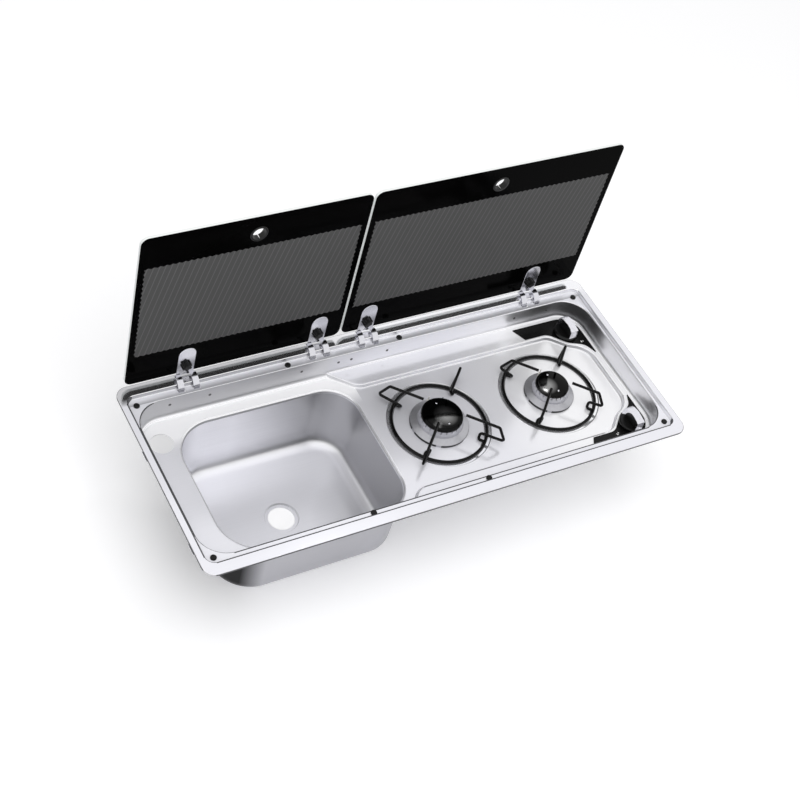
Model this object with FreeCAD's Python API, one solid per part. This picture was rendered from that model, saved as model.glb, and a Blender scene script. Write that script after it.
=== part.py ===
import FreeCAD
import Part
import math
import os

V = FreeCAD.Vector

# Driving dimensions, in millimetres. The worktop's top face is z = 0, +Y is the back, +X is the right.
RIM_W = 900.0
RIM_D = 380.0
RIM_R = 22.0
SHEET = 0.8
RIM_TOP = 3.0
RIM_BAND_SIDE = 13.0
RIM_BAND_FRONT = 22.5
RIM_IN_R = 14.0
LEDGE_SIDE = 4.5
LEDGE_FRONT = 12.5
LEDGE_BACK = 15.5
LEDGE_DROP = 8.0
SHELF_DROP = 46.0
DECK_DROP = 53.0
BOWL_DROP = 185.0
WELL_R = 48.0
EDGE_ROLL = 2.0
SHELF_FILLET = 6.0
DECK_FILLET = 11.0

# Hob tray contour: a lower field with a wave round each knob, open towards the sink
TRAY_LEFT = -36.0
SHELF_BACK = 43.5
SHELF_FRONT = 38.0
SHELF_SIDE = 17.5
WAVE_REACH = 62.0
WAVE_STEP = 28.5
WAVE_RISE = 17.0
STEP_TOP_R = 3.0
STEP_LOW_R = 3.0

# Sink bowl, waste hole and tap hole
SINK_TO_TRAY = 17.6
SINK_MARGIN_LEFT = 58.0
SINK_MARGIN_FRONT = 18.0
SINK_MARGIN_BACK = 28.5
SINK_R_LEFT = 68.0
SINK_R_RIGHT = 55.0
SINK_ROLL = 5.0
BOWL_TAPER = 2.0
BOWL_FLOOR_R = 25.0
DRAIN_SHIFT_X = -0.95
DRAIN_SHIFT_Y = -7.25
DRAIN_R = 23.0
DRAIN_RECESS_R = 30.0
DRAIN_RECESS = 3.0
TAP_SIDE = 35.8
TAP_BACK = 51.0
TAP_R = 19.5

# Lids and their hinges
LID_SIDE_GAP = 3.8
LID_FRONT_GAP = 2.5
LID_SPLIT = -46.5
LID_GAP = 4.0
LID_LOW = 8.5
GLASS = 5.0
GLASS_R = 13.0
PIVOT_IN = 12.35
PIVOT_DROP = 11.55
PIVOT_TO_GLASS = 7.05
STRAP_R = 16.5
STRAP_T = 1.5
STRAP_IN = 8.0
STRAP_OUT = 18.5
LEAF_H = 57.0
LEAF_HALF = 15.0
LEAF_BEVEL = 0.5
NUT_Z = 26.6
PIN_R = 2.0
PIN_FIT = 0.05
PAD_T = 0.5
NUT_T = 6.5
FINGER_IN = 36.6
FINGER_R = 11.4
FINGER_WALL = 1.6
FINGER_FLANGE = 3.6
FINGER_TAIL = 4.5
FINGER_SLOT = 1.4
FINGER_SLOT_ANGLE = 15.0
HINGE_OUT_LEFT = 103.4
HINGE_IN_LEFT = 43.8
HINGE_IN_RIGHT = 47.0
HINGE_OUT_RIGHT = 97.5
EAR_X = 24.0
RIVET_X = 35.0
RIVET_DROP = 25.6
BUMPER_R = 5.0
BUMPER_IN = 9.0
BUMPER_SPREAD = 107.0

# Burners, pan supports and knobs
BURNER_IN_LEFT = 100.1
BURNER_IN_RIGHT = 125.5
BURNER_SHIFT_Y = 0.35
CAP_R = {"left": 36.5, "right": 30.0}
ARM_IN = {"left": 38.0, "right": 31.0}
ARM_OUT = {"left": 98.5, "right": 80.5}
ARM_LOW = {"left": 113.5, "right": 96.0}
DISH_R = 92.0
DISH = 1.5
RING_IN = 8.5
RING_ROD_R = 2.8
ROD_R = 2.5
ARM_DROP = 27.4
HAIRPIN_IN = 12.5
HAIRPIN_H = 9.6
HAIRPIN_SIDE = 3.2
SUPPORT_TOP = 9.8
KNOB_SIDE = 25.5
KNOB_IN_BACK = 3.5
KNOB_OUT_FRONT = 1.0
KNOB_R = 22.0
KNOB_HALF = 7.0
TRIM_T = 0.6
SPINDLE_R = 4.0
SPINDLE_HOLE_R = 8.0
FASCIA_T = 1.0
FASCIA_MARGIN = 11.0
FASCIA_TAIL = 44.5
PUSH = 4.0
SLOTS = 24
MIXER = 16.0
MIXER_DROP = 21.0
CUP_H = 9.0
CUP_OUT = 15.0
CROWN_H = 12.5
CAP_H = 6.2
CAP_EDGE = 4.0
CAP_DOME = 2.4
STUD_R = 2.0
STUD_OUT = 0.63
PLUG_R = 2.4

# Worktop cut-out, fixings and pipework
CUT_SIDE = 9.0
CUT_FRONT = 6.0
BOARD = 13.0
CLIP_W = 20.0
CLIP_T = 1.5
CLIP_LEG = 22.0
CLIP_TAB = 13.0
CLIP_HOLE = 13.0
BRACKET_TOP = 15.0
BRACKET_LOW = 37.0
CLIP_FRONT = -125.0
CLIP_BACK = 60.0
RAIL_R = 5.0
RAIL_DROP = 26.0
FEED_R = 3.0
STUB_R = 4.0
STUB = 22.0
STUB_IN = 18.0
INLET_DROP = 22.0
INLET_NUT = 14.0
TEE_IN = 45.0

# Places worked out from the sizes above
RIM_IN_X = RIM_W / 2 - RIM_BAND_SIDE
RIM_IN_Y = RIM_D / 2 - RIM_BAND_FRONT
WELL_X = RIM_IN_X - LEDGE_SIDE
WELL_FRONT = LEDGE_FRONT - RIM_IN_Y
WELL_BACK = RIM_IN_Y - LEDGE_BACK
TRAY_BACK = WELL_BACK - SHELF_BACK
TRAY_FRONT = WELL_FRONT + SHELF_FRONT
TRAY_RIGHT = WELL_X - SHELF_SIDE
WAVE_START = TRAY_RIGHT - WAVE_REACH
SINK_LEFT = SINK_MARGIN_LEFT - WELL_X
SINK_RIGHT = TRAY_LEFT - SINK_TO_TRAY
SINK_FRONT = WELL_FRONT + SINK_MARGIN_FRONT
SINK_BACK = WELL_BACK - SINK_MARGIN_BACK
DRAIN_X = (SINK_LEFT + SINK_RIGHT) / 2 + DRAIN_SHIFT_X
DRAIN_Y = (SINK_FRONT + SINK_BACK) / 2 + DRAIN_SHIFT_Y
TAP_X = TAP_SIDE - WELL_X
TAP_Y = WELL_BACK - TAP_BACK
PIVOT_Y = RIM_D / 2 - PIVOT_IN
GLASS_Y = PIVOT_Y + PIVOT_TO_GLASS
LID_HALF_W = RIM_IN_X - LID_SIDE_GAP
LID_H = PIVOT_Y + RIM_IN_Y - LID_FRONT_GAP - LID_LOW - PIVOT_DROP
FINGER_Z = LID_LOW + LID_H - FINGER_IN
LEFT_EDGES = (-LID_HALF_W, LID_SPLIT - LID_GAP / 2)
RIGHT_EDGES = (LID_SPLIT + LID_GAP / 2, LID_HALF_W)
HINGES_LEFT = (LEFT_EDGES[0] + HINGE_OUT_LEFT, LEFT_EDGES[1] - HINGE_IN_LEFT)
HINGES_RIGHT = (RIGHT_EDGES[0] + HINGE_IN_RIGHT, RIGHT_EDGES[1] - HINGE_OUT_RIGHT)
HINGES = HINGES_LEFT + HINGES_RIGHT
RING_R = DISH_R - RING_IN
HAIRPIN_R = RING_R - HAIRPIN_IN
BURNERS = {"left": TRAY_LEFT + BURNER_IN_LEFT, "right": TRAY_RIGHT - BURNER_IN_RIGHT}
BURNER_Y = (TRAY_BACK + TRAY_FRONT) / 2 + BURNER_SHIFT_Y
KNOB_X = TRAY_RIGHT - KNOB_SIDE
KNOBS = {"back": TRAY_BACK - KNOB_IN_BACK, "front": TRAY_FRONT - KNOB_OUT_FRONT}
CUT_X = RIM_W / 2 - CUT_SIDE
CUT_Y = RIM_D / 2 - CUT_FRONT
Z_LEDGE = RIM_TOP - LEDGE_DROP
Z_SHELF = RIM_TOP - SHELF_DROP
Z_DECK = RIM_TOP - DECK_DROP
Z_DISH = Z_DECK - DISH
Z_FLANGE = Z_DECK - SINK_ROLL - 1.0
Z_BOWL = RIM_TOP - BOWL_DROP
PIVOT_Z = RIM_TOP - PIVOT_DROP
Z_MIXER = Z_DISH - SHEET - MIXER_DROP
Z_VALVE = Z_SHELF - SHEET - 40.0
Z_RAIL = Z_VALVE - RAIL_DROP
Z_INLET = Z_RAIL - INLET_DROP


# Shared shape helpers

def outline(points, radii, grow=0.0):
    """Closed flat wire through rounded corners, points anticlockwise, moved outward by grow."""
    count = len(points)
    sides = []
    for i in range(count):
        a = V(points[i][0], points[i][1], 0)
        b = V(points[(i + 1) % count][0], points[(i + 1) % count][1], 0)
        along = (b - a).normalize()
        sides.append((a + V(along.y, -along.x, 0) * grow, along))
    bends = []
    for i in range(count):
        p, d = sides[i - 1]
        q, e = sides[i]
        cross = d.x * e.y - d.y * e.x
        reach = ((q.x - p.x) * e.y - (q.y - p.y) * e.x) / cross
        corner = p + d * reach
        turn = math.atan2(cross, d.dot(e))
        radius = radii[i] + math.copysign(grow, turn) if radii[i] > 0 else 0.0
        length = radius * math.tan(abs(turn) / 2)
        inward = V(-d.y, d.x, 0) * math.copysign(1.0, turn)
        start = corner - d * length
        centre = start + inward * radius
        middle = centre + (corner - centre).normalize() * radius if radius > 0 else corner
        bends.append((start, middle, corner + e * length, radius))
    edges = []
    for i in range(count):
        start, middle, end, radius = bends[i]
        if radius > 0:
            edges.append(Part.Arc(start, middle, end).toShape())
        following = bends[(i + 1) % count][0]
        if (following - end).Length > 1e-6:
            edges.append(Part.makeLine(end, following))
    return Part.Wire(edges)


def rectangle(x0, x1, y0, y1):
    return [(x0, y0), (x1, y0), (x1, y1), (x0, y1)]


def prism(wire, z0, z1):
    face = Part.Face(wire)
    face.translate(V(0, 0, z0))
    return face.extrude(V(0, 0, z1 - z0))


def edges_at(shape, z):
    found = []
    for edge in shape.Edges:
        box = edge.BoundBox
        if abs(box.ZMin - z) < 1e-4 and abs(box.ZMax - z) < 1e-4:
            found.append(edge)
    return found


def basin(points, radii, grow, z0, z1, floor_r):
    """Prism with a rounded lower edge: the room inside a pressed basin."""
    solid = prism(outline(points, radii, grow), z0, z1)
    return solid.makeFillet(floor_r, edges_at(solid, z0))


def flare(points, radii, grow, z_top, roll):
    """Room above a rolled-over edge: widens by roll as it comes up to z_top."""
    ring = prism(outline(points, radii, grow + roll + 3), z_top - roll - 1, z_top)
    ring = ring.cut(prism(outline(points, radii, grow), z_top - roll - 2, z_top + 1))
    lip = outline(points, radii, grow)
    lip.translate(V(0, 0, z_top))
    inner = [e for e in edges_at(ring, z_top) if e.distToShape(lip)[0] < 1e-4]
    ring = ring.makeFillet(roll, inner)
    return prism(outline(points, radii, grow + roll), z_top - roll, z_top).cut(ring)


def tube(p, radius, length, axis=V(0, 0, 1)):
    return Part.makeCylinder(radius, length, p, axis)


def block(x0, x1, y0, y1, z0, z1):
    return Part.makeBox(x1 - x0, y1 - y0, z1 - z0, V(x0, y0, z0))


def turned(profile, x=0.0, y=0.0):
    """Solid of revolution about a vertical axis at x, y from (radius, height) points."""
    points = [V(r, 0, z) for r, z in profile]
    face = Part.Face(Part.makePolygon(points + points[:1]))
    solid = face.revolve(V(0, 0, 0), V(0, 0, 1), 360)
    solid.translate(V(x, y, 0))
    return solid


def side_plate(points, x0, x1):
    """Plate in the YZ plane between x0 and x1 from (y, z) points."""
    corners = [V(x0, y, z) for y, z in points]
    return Part.Face(Part.makePolygon(corners + corners[:1])).extrude(V(x1 - x0, 0, 0))


def upright(wire, y0, y1):
    """Plate standing in the XZ plane between y0 and y1, from an outline drawn in x and z."""
    plate = Part.Face(wire).extrude(V(0, 0, y1 - y0))
    plate.rotate(V(0, 0, 0), V(1, 0, 0), 90)
    plate.translate(V(0, y1, 0))
    return plate


def sector(x0, x1, r0, r1, a0, a1):
    """Part of a ring about the hinge pivot, between two angles counted from +Y towards +Z."""
    def at(radius, angle):
        turn = math.radians(angle)
        return V(x0, PIVOT_Y + radius * math.cos(turn), PIVOT_Z + radius * math.sin(turn))
    middle = (a0 + a1) / 2
    edges = [
        Part.Arc(at(r1, a0), at(r1, middle), at(r1, a1)).toShape(),
        Part.makeLine(at(r1, a1), at(r0, a1)),
        Part.Arc(at(r0, a1), at(r0, middle), at(r0, a0)).toShape(),
        Part.makeLine(at(r0, a0), at(r1, a0)),
    ]
    return Part.Face(Part.Wire(edges)).extrude(V(x1 - x0, 0, 0))


def rod(points, radius, bend):
    """Round bar or pipe along a path whose corners are bent to the given radius."""
    pieces = []
    last = points[0]
    for i in range(1, len(points) - 1):
        into = (points[i] - points[i - 1]).normalize()
        out = (points[i + 1] - points[i]).normalize()
        turn = into.getAngle(out)
        start = points[i] - into * (bend * math.tan(turn / 2))
        centre = start + (out - into * into.dot(out)).normalize() * bend
        disc = Part.Face(Part.Wire(Part.makeCircle(radius, start, into)))
        pieces.append(tube(last, radius, (start - last).Length, into))
        pieces.append(disc.revolve(centre, into.cross(out), math.degrees(turn)))
        last = points[i] + out * (bend * math.tan(turn / 2))
    pieces.append(tube(last, radius, (points[-1] - last).Length, points[-1] - last))
    return pieces[0].fuse(pieces[1:])


def joined(shapes):
    solid = shapes[0].fuse(shapes[1:])
    return solid.removeSplitter()


def group(shapes):
    return Part.makeCompound(shapes)


def save(name, shape):
    shape.exportStep("parts/" + name + ".step")


# Pressed pan: rim, ledge, well, wavy step down to the hob tray, sink opening

RIM_IN = (rectangle(-RIM_IN_X, RIM_IN_X, -RIM_IN_Y, RIM_IN_Y), [RIM_IN_R] * 4)
WELL = (rectangle(-WELL_X, WELL_X, WELL_FRONT, WELL_BACK), [WELL_R] * 4)
SINK_RADII = [SINK_R_LEFT, SINK_R_RIGHT, SINK_R_RIGHT, SINK_R_LEFT]
SINK = (rectangle(SINK_LEFT, SINK_RIGHT, SINK_FRONT, SINK_BACK), SINK_RADII)
FAR = 300.0
TRAY = (
    [
        (-2 * FAR, -FAR),
        (TRAY_LEFT - (FAR + TRAY_FRONT), -FAR),
        (TRAY_LEFT, TRAY_FRONT),
        (WAVE_START, TRAY_FRONT),
        (WAVE_START + WAVE_STEP, TRAY_FRONT + WAVE_STEP),
        (TRAY_RIGHT, TRAY_FRONT + WAVE_STEP + WAVE_RISE),
        (TRAY_RIGHT, TRAY_BACK - WAVE_STEP - WAVE_RISE),
        (WAVE_START + WAVE_STEP, TRAY_BACK - WAVE_STEP),
        (WAVE_START, TRAY_BACK),
        (TRAY_LEFT, TRAY_BACK),
        (TRAY_LEFT - (FAR - TRAY_BACK), FAR),
        (-2 * FAR, FAR),
    ],
    [40.0, 40.0, 30.0, 25.0, 30.0, 40.0, 40.0, 30.0, 25.0, 30.0, 40.0, 40.0],
)


def step_room(off):
    """Room over the low field: everything inside the wavy contour, with both edges of the step rounded."""
    low = Z_DECK - off
    top = Z_SHELF - off
    roll = STEP_TOP_R - off
    room = basin(TRAY[0], TRAY[1], off, low, top, STEP_LOW_R + off)
    above = prism(outline(TRAY[0], TRAY[1], off + STEP_TOP_R), top, RIM_TOP)
    return joined([room, flare(TRAY[0], TRAY[1], off, top, roll), above])


def tub(off, z_top, z_flange):
    """Room inside the pan; grown by the sheet it becomes the pan's outer skin."""
    opening = basin(RIM_IN[0], RIM_IN[1], off, Z_LEDGE - off, z_top, 2.0 + off)
    well = basin(WELL[0], WELL[1], off, Z_SHELF - off, z_top, SHELF_FILLET + off)
    deep = basin(WELL[0], WELL[1], off, Z_DECK - off, z_top, DECK_FILLET + off)
    sink = prism(outline(SINK[0], SINK[1], off), z_flange, Z_DECK - off)
    roll = flare(SINK[0], SINK[1], off, Z_DECK - off, SINK_ROLL - off)
    lip = flare(RIM_IN[0], RIM_IN[1], off, RIM_TOP - off, EDGE_ROLL - off)
    brow = flare(WELL[0], WELL[1], off, Z_LEDGE - off, EDGE_ROLL - off)
    pieces = [opening, well, deep.common(step_room(off)), sink, roll, lip, brow]
    for x in BURNERS.values():
        dish = Part.makeCone(DISH_R - DISH + off, DISH_R + off, DISH, V(x, BURNER_Y, Z_DECK - off - DISH))
        pieces.append(dish)
    return joined(pieces)


def top_pan():
    outer = outline(rectangle(-RIM_W / 2, RIM_W / 2, -RIM_D / 2, RIM_D / 2), [RIM_R] * 4)
    inner = outline(rectangle(-RIM_W / 2, RIM_W / 2, -RIM_D / 2, RIM_D / 2), [RIM_R] * 4, -SHEET)
    rim = prism(outer, 0.2, RIM_TOP)
    rim = rim.makeFillet(1.5, edges_at(rim, RIM_TOP))
    rim = rim.cut(prism(inner, -1, RIM_TOP - SHEET))
    skin = tub(SHEET, RIM_TOP - SHEET / 2, Z_FLANGE)
    pan = rim.fuse(skin).cut(tub(0.0, RIM_TOP + 5, Z_FLANGE - 5))
    cuts = [tube(V(TAP_X, TAP_Y, Z_DECK - 5), TAP_R, 10)]
    for side, x in BURNERS.items():
        cuts.append(tube(V(x, BURNER_Y, Z_DECK - 8), CAP_R[side] + 2, 16))
    for y in KNOBS.values():
        cuts.append(tube(V(KNOB_X, y, Z_SHELF - 5), SPINDLE_HOLE_R, 10))
    for x in HINGES:
        for s in (-1, 1):
            a, b = sorted((x + s * (STRAP_IN - 1), x + s * (STRAP_OUT + 1)))
            y = PIVOT_Y - STRAP_R
            cuts.append(block(a, b, y - STRAP_T - 2.2, y + 2.8, Z_LEDGE - 3, Z_LEDGE + 3))
            spot = V(x + s * RIVET_X, WELL_BACK - 5, RIM_TOP - RIVET_DROP)
            cuts.append(tube(spot, 2.0, 12, V(0, 1, 0)))
    return pan.cut(cuts).removeSplitter()


def sink_bowl():
    """Drawn bowl that butts against the opening's turned-down edge, with a recessed waste hole."""
    def room(off, z_top):
        top = outline(SINK[0], SINK[1], off)
        top.translate(V(0, 0, z_top))
        low = outline(SINK[0], SINK[1], off - BOWL_TAPER)
        low.translate(V(0, 0, Z_BOWL - off))
        solid = Part.makeLoft([low, top], True, True)
        solid = solid.makeFillet(BOWL_FLOOR_R + off, edges_at(solid, Z_BOWL - off))
        well = Part.makeCone(DRAIN_RECESS_R - 2 + off, DRAIN_RECESS_R + off, DRAIN_RECESS,
                             V(DRAIN_X, DRAIN_Y, Z_BOWL - off - DRAIN_RECESS))
        return solid.fuse(well)
    bowl = room(SHEET, Z_FLANGE).cut(room(0.0, Z_FLANGE))
    return bowl.cut(tube(V(DRAIN_X, DRAIN_Y, Z_BOWL - 20), DRAIN_R, 30)).removeSplitter()


def rim_gasket():
    band = rectangle(-RIM_W / 2, RIM_W / 2, -RIM_D / 2, RIM_D / 2)
    ring = prism(outline(band, [RIM_R] * 4, -1.2), 0, RIM_TOP - SHEET)
    hole = outline(rectangle(-CUT_X, CUT_X, -CUT_Y, CUT_Y), [RIM_R - 8] * 4)
    return ring.cut(prism(hole, -1, RIM_TOP))


# Fixings under the rim

CLIPS = [(-1, CLIP_FRONT), (-1, CLIP_BACK), (1, CLIP_FRONT), (1, CLIP_BACK)]
CLIP_Z = -BOARD


def fixing_clips():
    wall = WELL_X + SHEET
    shapes = []
    for s, y in CLIPS:
        y0 = y - CLIP_W / 2
        y1 = y + CLIP_W / 2
        leg = block(wall, wall + CLIP_T, y0, y1, CLIP_Z - CLIP_LEG, CLIP_Z)
        tab = block(wall, wall + CLIP_TAB, y0, y1, CLIP_Z - CLIP_T, CLIP_Z)
        clip = joined([leg, tab]).cut(tube(V(wall - 1, y, CLIP_Z - CLIP_HOLE), 2.2, 5, V(1, 0, 0)))
        shapes.append(clip if s > 0 else clip.mirror(V(0, 0, 0), V(1, 0, 0)))
    return group(shapes)


def clip_screws():
    shapes = []
    for s, y in CLIPS:
        spot = V(s * (WELL_X + SHEET + CLIP_T), y, CLIP_Z - CLIP_HOLE)
        head = tube(spot, 4.0, 2.5, V(s, 0, 0))
        shank = tube(spot, 2.2, CLIP_T, V(-s, 0, 0))
        shapes.append(joined([head, shank]))
    return group(shapes)


# Lid hinges: brackets riveted to the well's back wall, pins, and arms that curl round the rim

def hinge_brackets():
    y0 = WELL_BACK + SHEET
    z1 = RIM_TOP - BRACKET_TOP
    z0 = RIM_TOP - BRACKET_LOW
    ear = [(y0 + 1, z1), (y0 + 1, z0), (y0 + 9, z0), (PIVOT_Y + 4, PIVOT_Z), (PIVOT_Y - 4, PIVOT_Z)]
    shapes = []
    for x in HINGES:
        pieces = [block(x - RIVET_X - 8, x + RIVET_X + 8, y0, y0 + 1.5, z0, z1)]
        for s in (-1, 1):
            a, b = sorted((x + s * EAR_X, x + s * (EAR_X + 1.5)))
            pieces.append(side_plate(ear, a, b))
            pieces.append(tube(V(a, PIVOT_Y, PIVOT_Z), 4.0, 1.5, V(1, 0, 0)))
        bracket = joined(pieces)
        bracket = bracket.cut(tube(V(x - EAR_X - 6, PIVOT_Y, PIVOT_Z), PIN_R, 2 * EAR_X + 12, V(1, 0, 0)))
        for s in (-1, 1):
            spot = V(x + s * RIVET_X, y0 - 1, RIM_TOP - RIVET_DROP)
            bracket = bracket.cut(tube(spot, 2.0, 5, V(0, 1, 0)))
        shapes.append(bracket)
    return group(shapes)


def hinge_pins():
    shapes = []
    for x in HINGES:
        end = EAR_X + 3.0
        shaft = tube(V(x - end, PIVOT_Y, PIVOT_Z), PIN_R, 2 * end, V(1, 0, 0))
        heads = [tube(V(a, PIVOT_Y, PIVOT_Z), PIN_R + 1.2, 1.4, V(1, 0, 0)) for a in (x - end, x + end - 1.4)]
        shapes.append(joined([shaft] + heads))
    return group(shapes)


def hinge_rivets():
    shapes = []
    for x in HINGES:
        for s in (-1, 1):
            cx = x + s * RIVET_X
            z = RIM_TOP - RIVET_DROP
            shank = tube(V(cx, WELL_BACK, z), 2.0, SHEET + 1.5, V(0, 1, 0))
            front = Part.makeCone(2.6, 1.8, 0.7, V(cx, WELL_BACK, z), V(0, -1, 0))
            tail = tube(V(cx, WELL_BACK + SHEET + 1.5, z), 3.2, 1.2, V(0, 1, 0))
            shapes.append(joined([shank, front, tail]))
    return group(shapes)


def hinge_arm(x):
    """Leaf on the glass, two straps rolled round the pivot, two eyes on the pin."""
    leaf_y = GLASS_Y - PAD_T
    middle = STRAP_R + STRAP_T / 2
    tilt = math.degrees(math.acos((leaf_y - STRAP_T / 2 - PIVOT_Y) / middle))
    z_leaf = PIVOT_Z + STRAP_R * math.sin(math.radians(tilt))
    z_tip = RIM_TOP + LID_LOW + LEAF_H
    z_foot = z_leaf + 4.0
    corners = [(x - STRAP_OUT, z_leaf), (x + STRAP_OUT, z_leaf), (x + STRAP_OUT, z_leaf + 1), (x + LEAF_HALF, z_foot),
               (x + LEAF_HALF, z_tip), (x - LEAF_HALF, z_tip), (x - LEAF_HALF, z_foot), (x - STRAP_OUT, z_leaf + 1)]
    bends = [0, 0, 0, 4.0, LEAF_HALF - 0.5, LEAF_HALF - 0.5, 4.0, 0]
    leaf = upright(outline(corners, bends), leaf_y - STRAP_T, leaf_y)
    front = [e for e in leaf.Edges if e.BoundBox.YMax < leaf_y - STRAP_T + 1e-4 and e.BoundBox.ZMin > z_leaf + 0.5]
    leaf = leaf.makeChamfer(LEAF_BEVEL, front)
    leaf = leaf.cut(tube(V(x, leaf_y - 5, RIM_TOP + NUT_Z), 3.2, 10, V(0, 1, 0)))
    z_slot = z_leaf + 3.0
    pieces = [leaf.cut(block(x - 4, x + 3, leaf_y - 5, leaf_y + 5, z_slot, z_slot + 2.2))]
    for s in (-1, 1):
        a, b = sorted((x + s * STRAP_IN, x + s * STRAP_OUT))
        start = V(a, PIVOT_Y, PIVOT_Z)
        strap = sector(a, b, STRAP_R, STRAP_R + STRAP_T, tilt, 190.0)
        web = block(a, b, PIVOT_Y - middle, PIVOT_Y - 3, PIVOT_Z - STRAP_T / 2, PIVOT_Z + STRAP_T / 2)
        web.rotate(start, V(1, 0, 0), 7.8)
        eye = tube(start, 4.0, b - a, V(1, 0, 0))
        bore = tube(start - V(1, 0, 0), PIN_R + PIN_FIT, b - a + 2, V(1, 0, 0))
        pieces.append(joined([strap, web, eye]).cut(bore))
    return joined(pieces)


def hinge_arms(places):
    return group([hinge_arm(x) for x in places])


def hinge_pads(places):
    shapes = []
    for x in places:
        z0 = RIM_TOP + LID_LOW + 2
        z1 = RIM_TOP + LID_LOW + LEAF_H - 2
        pad = outline(rectangle(x - 13, x + 13, z0, z1), [2.0, 2.0, 12.0, 12.0])
        pad = upright(pad, GLASS_Y - PAD_T, GLASS_Y)
        shapes.append(pad.cut(tube(V(x, GLASS_Y - 3, RIM_TOP + NUT_Z), 3.5, 6, V(0, 1, 0))))
    return group(shapes)


def hinge_nuts(places):
    """Lobed hand nuts on the leaf's front face."""
    shapes = []
    y1 = GLASS_Y - PAD_T - STRAP_T
    for x in places:
        z = RIM_TOP + NUT_Z
        pieces = [tube(V(x, y1, z), 6.4, NUT_T, V(0, -1, 0)), tube(V(x, y1 - NUT_T, z), 4.6, 0.8, V(0, -1, 0))]
        for k in range(6):
            turn = math.radians(60 * k + 30)
            spot = V(x + 6.2 * math.cos(turn), y1, z + 6.2 * math.sin(turn))
            pieces.append(tube(spot, 2.6, NUT_T - 0.8, V(0, -1, 0)))
        shapes.append(joined(pieces).cut(tube(V(x, y1 + 1, z), 3.0, NUT_T - 0.5, V(0, -1, 0))))
    return group(shapes)


def hinge_screws(places):
    """Button-head screws that come through the glass from its outer face."""
    shapes = []
    back = GLASS_Y + GLASS
    for x in places:
        z = RIM_TOP + NUT_Z
        head = tube(V(x, back, z), 9.0, 2.6, V(0, 1, 0))
        head = head.makeFillet(1.6, [e for e in head.Edges if abs(e.BoundBox.YMin - back - 2.6) < 1e-4])
        length = GLASS + PAD_T + STRAP_T + NUT_T - 2.5
        shapes.append(joined([head, tube(V(x, back, z), 3.0, length, V(0, -1, 0))]))
    return group(shapes)


def lid_glass(x0, x1, places):
    z0 = RIM_TOP + LID_LOW
    pane = upright(outline(rectangle(x0, x1, z0, z0 + LID_H), [GLASS_R] * 4), GLASS_Y, GLASS_Y + GLASS)
    cuts = [tube(V((x0 + x1) / 2, GLASS_Y - 1, RIM_TOP + FINGER_Z), FINGER_R + FINGER_WALL, GLASS + 2, V(0, 1, 0))]
    for x in places:
        cuts.append(tube(V(x, GLASS_Y - 1, RIM_TOP + NUT_Z), 3.5, GLASS + 2, V(0, 1, 0)))
    return pane.cut(cuts)


def finger_ring(x):
    """Flanged eyelet lining the finger hole, its tail split into four snap fingers."""
    wall = FINGER_R + FINGER_WALL
    edge = FINGER_R + FINGER_FLANGE
    tail = GLASS + FINGER_TAIL
    profile = [(FINGER_R, -1.2), (edge - 0.4, -1.2), (edge, -0.6), (edge, 0), (wall, 0), (wall, GLASS),
               (wall + 1.2, GLASS), (wall + 1.2, GLASS + 1), (wall, GLASS + 2.5), (wall, tail), (FINGER_R, tail)]
    ring = turned(profile)
    slot = block(FINGER_R - 1, edge, -FINGER_SLOT / 2, FINGER_SLOT / 2, 0.8, tail + 1)
    slot.rotate(V(0, 0, 0), V(0, 0, 1), -FINGER_SLOT_ANGLE)
    for k in range(4):
        ring = ring.cut(slot)
        slot.rotate(V(0, 0, 0), V(0, 0, 1), 90)
    ring.rotate(V(0, 0, 0), V(1, 0, 0), -90)
    ring.translate(V(x, GLASS_Y, RIM_TOP + FINGER_Z))
    return ring


def lid_bumpers():
    """Rubber buttons on the ledge that the closed lids rest on."""
    top = PIVOT_Z + (GLASS_Y - PIVOT_Y) - 0.1
    spots = [(s * (WELL_X - BUMPER_IN), y) for s in (-1, 1) for y in (WELL_FRONT, WELL_BACK)]
    for x in (LID_SPLIT - BUMPER_SPREAD, LID_SPLIT + BUMPER_SPREAD):
        spots += [(x, WELL_FRONT - LEDGE_FRONT / 2), (x, WELL_BACK + BUMPER_R + 1.5)]
    profile = [(0, Z_LEDGE), (BUMPER_R, Z_LEDGE), (BUMPER_R, top - 1.2), (BUMPER_R - 1.2, top), (0, top)]
    shapes = []
    for x, y in spots:
        notch = block(x - 0.8, x + 0.8, y + 1, y + BUMPER_R + 1, top - 0.9, top + 1)
        shapes.append(turned(profile, x, y).cut(notch))
    return group(shapes)


# Fascia plates on the shelf, following the wave

def fascia(side):
    inset = STEP_TOP_R + 2.0
    flip = 1 if side == "back" else -1
    base = TRAY_BACK if side == "back" else -TRAY_FRONT
    wall = WELL_BACK if side == "back" else -WELL_FRONT
    front = base + inset
    points = [
        (WAVE_START - FASCIA_TAIL - 13, wall - FASCIA_MARGIN),
        (WAVE_START - FASCIA_TAIL, front),
        (WAVE_START + 2, front),
        (WAVE_START + WAVE_STEP + 3.5, front - WAVE_STEP - 1.5),
        (WELL_X - 19.0, front - WAVE_STEP - 14),
        (WELL_X - 8.5, front - WAVE_STEP - 40),
        (WELL_X - 8.5, wall - FASCIA_MARGIN),
    ]
    radii = [1.0, 1.0, 24.0, 28.0, 24.0, 1.0, 38.0]
    plate = prism(outline(points, radii), Z_SHELF, Z_SHELF + FASCIA_T)
    if flip < 0:
        plate = plate.mirror(V(0, 0, 0), V(0, 1, 0))
    return plate.cut(tube(V(KNOB_X, KNOBS[side], Z_SHELF - 5), SPINDLE_HOLE_R, 10))


# Burners: base casting under the deck, spun cup, slotted crown, enamelled cap, plug and sensor

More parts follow.
